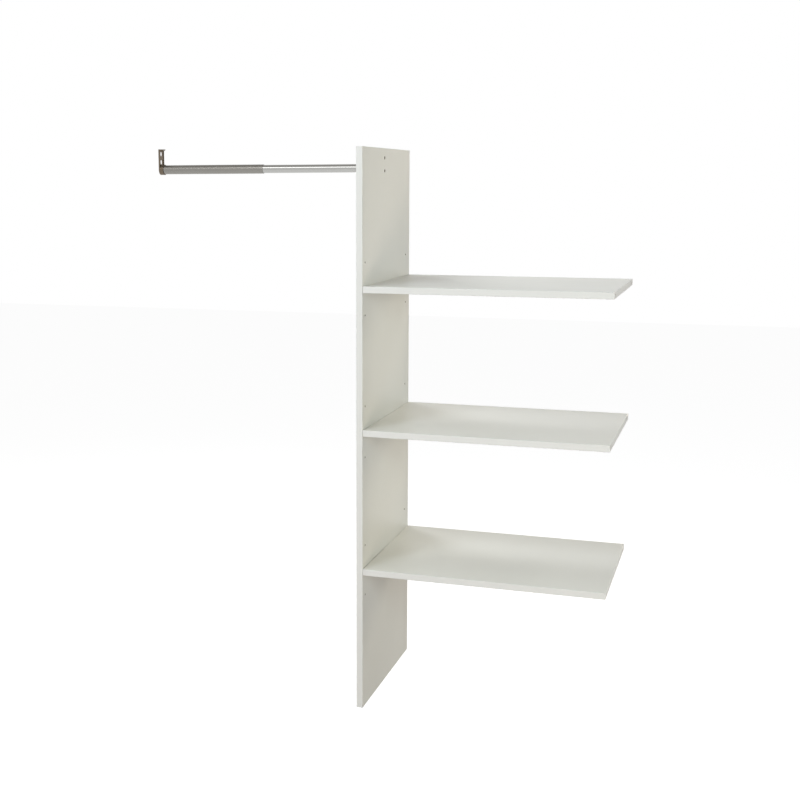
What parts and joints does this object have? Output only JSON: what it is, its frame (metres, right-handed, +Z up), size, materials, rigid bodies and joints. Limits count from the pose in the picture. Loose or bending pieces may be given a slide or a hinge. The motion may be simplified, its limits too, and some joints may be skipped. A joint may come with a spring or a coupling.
{
  "type": "wall mounted closet system",
  "caption": "Tall white partition board with cantilevered shelves on one side and a telescopic clothes rail with a slotted end bracket on the other, fixed to a wall.",
  "frame": {"origin": "middle of the partition's back edge, in the plane of the wall", "axes": "+X along the shelves, away from the partition; +Y into the wall; +Z up"},
  "size_m": [1.217, 0.425, 1.4043],
  "materials": {
    "white_board": "white melamine facing on chipboard",
    "white_band": "white plastic edge band",
    "chromed_tube": "bright chrome plate",
    "satin_tube": "satin plate",
    "bronzed_steel": "dull plated pressed steel",
    "die_cast_zinc": "raw die casting",
    "zinc_plated_steel": "bright zinc plate",
    "black_plastic": "moulded"
  },
  "bodies": {
    "closet_frame": {"partition_board": "white_board", "partition_front_band": "white_band", "partition_back_band": "white_band", "partition_top_band": "white_band", "partition_foot_band": "white_band", "lower_shelf_board": "white_board", "lower_shelf_front_band": "white_band", "lower_shelf_back_band": "white_band", "lower_shelf_fixed_end_band": "white_band", "lower_shelf_free_end_band": "white_band", "lower_shelf_front_bolt": "zinc_plated_steel", "lower_shelf_back_bolt": "zinc_plated_steel", "middle_shelf_board": "white_board", "middle_shelf_front_band": "white_band", "middle_shelf_back_band": "white_band", "middle_shelf_fixed_end_band": "white_band", "middle_shelf_free_end_band": "white_band", "middle_shelf_front_bolt": "zinc_plated_steel", "middle_shelf_back_bolt": "zinc_plated_steel", "upper_shelf_board": "white_board", "upper_shelf_front_band": "white_band", "upper_shelf_back_band": "white_band", "upper_shelf_fixed_end_band": "white_band", "upper_shelf_free_end_band": "white_band", "upper_shelf_front_bolt": "zinc_plated_steel", "upper_shelf_back_bolt": "zinc_plated_steel", "rail_inner_tube": "chromed_tube", "rail_glide": "black_plastic", "partition_rail_socket": "bronzed_steel", "socket_upper_screw": "zinc_plated_steel", "socket_upper_sleeve_nut": "zinc_plated_steel", "socket_lower_screw": "zinc_plated_steel", "socket_lower_sleeve_nut": "zinc_plated_steel", "lower_wall_angle": "zinc_plated_steel", "lower_angle_back_screw": "zinc_plated_steel", "lower_angle_front_screw": "zinc_plated_steel", "middle_wall_angle": "zinc_plated_steel", "middle_angle_back_screw": "zinc_plated_steel", "middle_angle_front_screw": "zinc_plated_steel", "upper_wall_angle": "zinc_plated_steel", "upper_angle_back_screw": "zinc_plated_steel", "upper_angle_front_screw": "zinc_plated_steel"},
    "lower_shelf_fixed_front_cam": {"lower_shelf_fixed_front_cam": "die_cast_zinc"},
    "lower_shelf_fixed_back_cam": {"lower_shelf_fixed_back_cam": "die_cast_zinc"},
    "lower_shelf_free_front_cam": {"lower_shelf_free_front_cam": "die_cast_zinc"},
    "lower_shelf_free_back_cam": {"lower_shelf_free_back_cam": "die_cast_zinc"},
    "middle_shelf_fixed_front_cam": {"middle_shelf_fixed_front_cam": "die_cast_zinc"},
    "middle_shelf_fixed_back_cam": {"middle_shelf_fixed_back_cam": "die_cast_zinc"},
    "middle_shelf_free_front_cam": {"middle_shelf_free_front_cam": "die_cast_zinc"},
    "middle_shelf_free_back_cam": {"middle_shelf_free_back_cam": "die_cast_zinc"},
    "upper_shelf_fixed_front_cam": {"upper_shelf_fixed_front_cam": "die_cast_zinc"},
    "upper_shelf_fixed_back_cam": {"upper_shelf_fixed_back_cam": "die_cast_zinc"},
    "upper_shelf_free_front_cam": {"upper_shelf_free_front_cam": "die_cast_zinc"},
    "upper_shelf_free_back_cam": {"upper_shelf_free_back_cam": "die_cast_zinc"},
    "rail_slider": {"far_rail_bracket": "bronzed_steel", "rail_outer_tube": "satin_tube"}
  },
  "joints": [
    {"name": "rail_extension", "type": "slide", "parent": "closet_frame", "child": "rail_slider", "axis": [-1, 0, 0], "range_m": [-0.165, 0.07]},
    {"name": "lower_shelf_fixed_front_cam_turn", "type": "hinge", "parent": "closet_frame", "child": "lower_shelf_fixed_front_cam", "pos_m": [0.042, -0.403, -0.344], "axis": [0, 0, 1], "range_deg": [0, 150]},
    {"name": "lower_shelf_fixed_back_cam_turn", "type": "hinge", "parent": "closet_frame", "child": "lower_shelf_fixed_back_cam", "pos_m": [0.042, -0.037, -0.344], "axis": [0, 0, 1], "range_deg": [0, 150]},
    {"name": "lower_shelf_free_front_cam_turn", "type": "hinge", "parent": "closet_frame", "child": "lower_shelf_free_front_cam", "pos_m": [0.569, -0.403, -0.344], "axis": [0, 0, 1], "range_deg": [-150, 0]},
    {"name": "lower_shelf_free_back_cam_turn", "type": "hinge", "parent": "closet_frame", "child": "lower_shelf_free_back_cam", "pos_m": [0.569, -0.037, -0.344], "axis": [0, 0, 1], "range_deg": [-150, 0]},
    {"name": "middle_shelf_fixed_front_cam_turn", "type": "hinge", "parent": "closet_frame", "child": "middle_shelf_fixed_front_cam", "pos_m": [0.042, -0.403, 0.008], "axis": [0, 0, 1], "range_deg": [0, 150]},
    {"name": "middle_shelf_fixed_back_cam_turn", "type": "hinge", "parent": "closet_frame", "child": "middle_shelf_fixed_back_cam", "pos_m": [0.042, -0.037, 0.008], "axis": [0, 0, 1], "range_deg": [0, 150]},
    {"name": "middle_shelf_free_front_cam_turn", "type": "hinge", "parent": "closet_frame", "child": "middle_shelf_free_front_cam", "pos_m": [0.569, -0.403, 0.008], "axis": [0, 0, 1], "range_deg": [-150, 0]},
    {"name": "middle_shelf_free_back_cam_turn", "type": "hinge", "parent": "closet_frame", "child": "middle_shelf_free_back_cam", "pos_m": [0.569, -0.037, 0.008], "axis": [0, 0, 1], "range_deg": [-150, 0]},
    {"name": "upper_shelf_fixed_front_cam_turn", "type": "hinge", "parent": "closet_frame", "child": "upper_shelf_fixed_front_cam", "pos_m": [0.042, -0.403, 0.36], "axis": [0, 0, 1], "range_deg": [0, 150]},
    {"name": "upper_shelf_fixed_back_cam_turn", "type": "hinge", "parent": "closet_frame", "child": "upper_shelf_fixed_back_cam", "pos_m": [0.042, -0.037, 0.36], "axis": [0, 0, 1], "range_deg": [0, 150]},
    {"name": "upper_shelf_free_front_cam_turn", "type": "hinge", "parent": "closet_frame", "child": "upper_shelf_free_front_cam", "pos_m": [0.569, -0.403, 0.36], "axis": [0, 0, 1], "range_deg": [-150, 0]},
    {"name": "upper_shelf_free_back_cam_turn", "type": "hinge", "parent": "closet_frame", "child": "upper_shelf_free_back_cam", "pos_m": [0.569, -0.037, 0.36], "axis": [0, 0, 1], "range_deg": [-150, 0]}
  ]
}
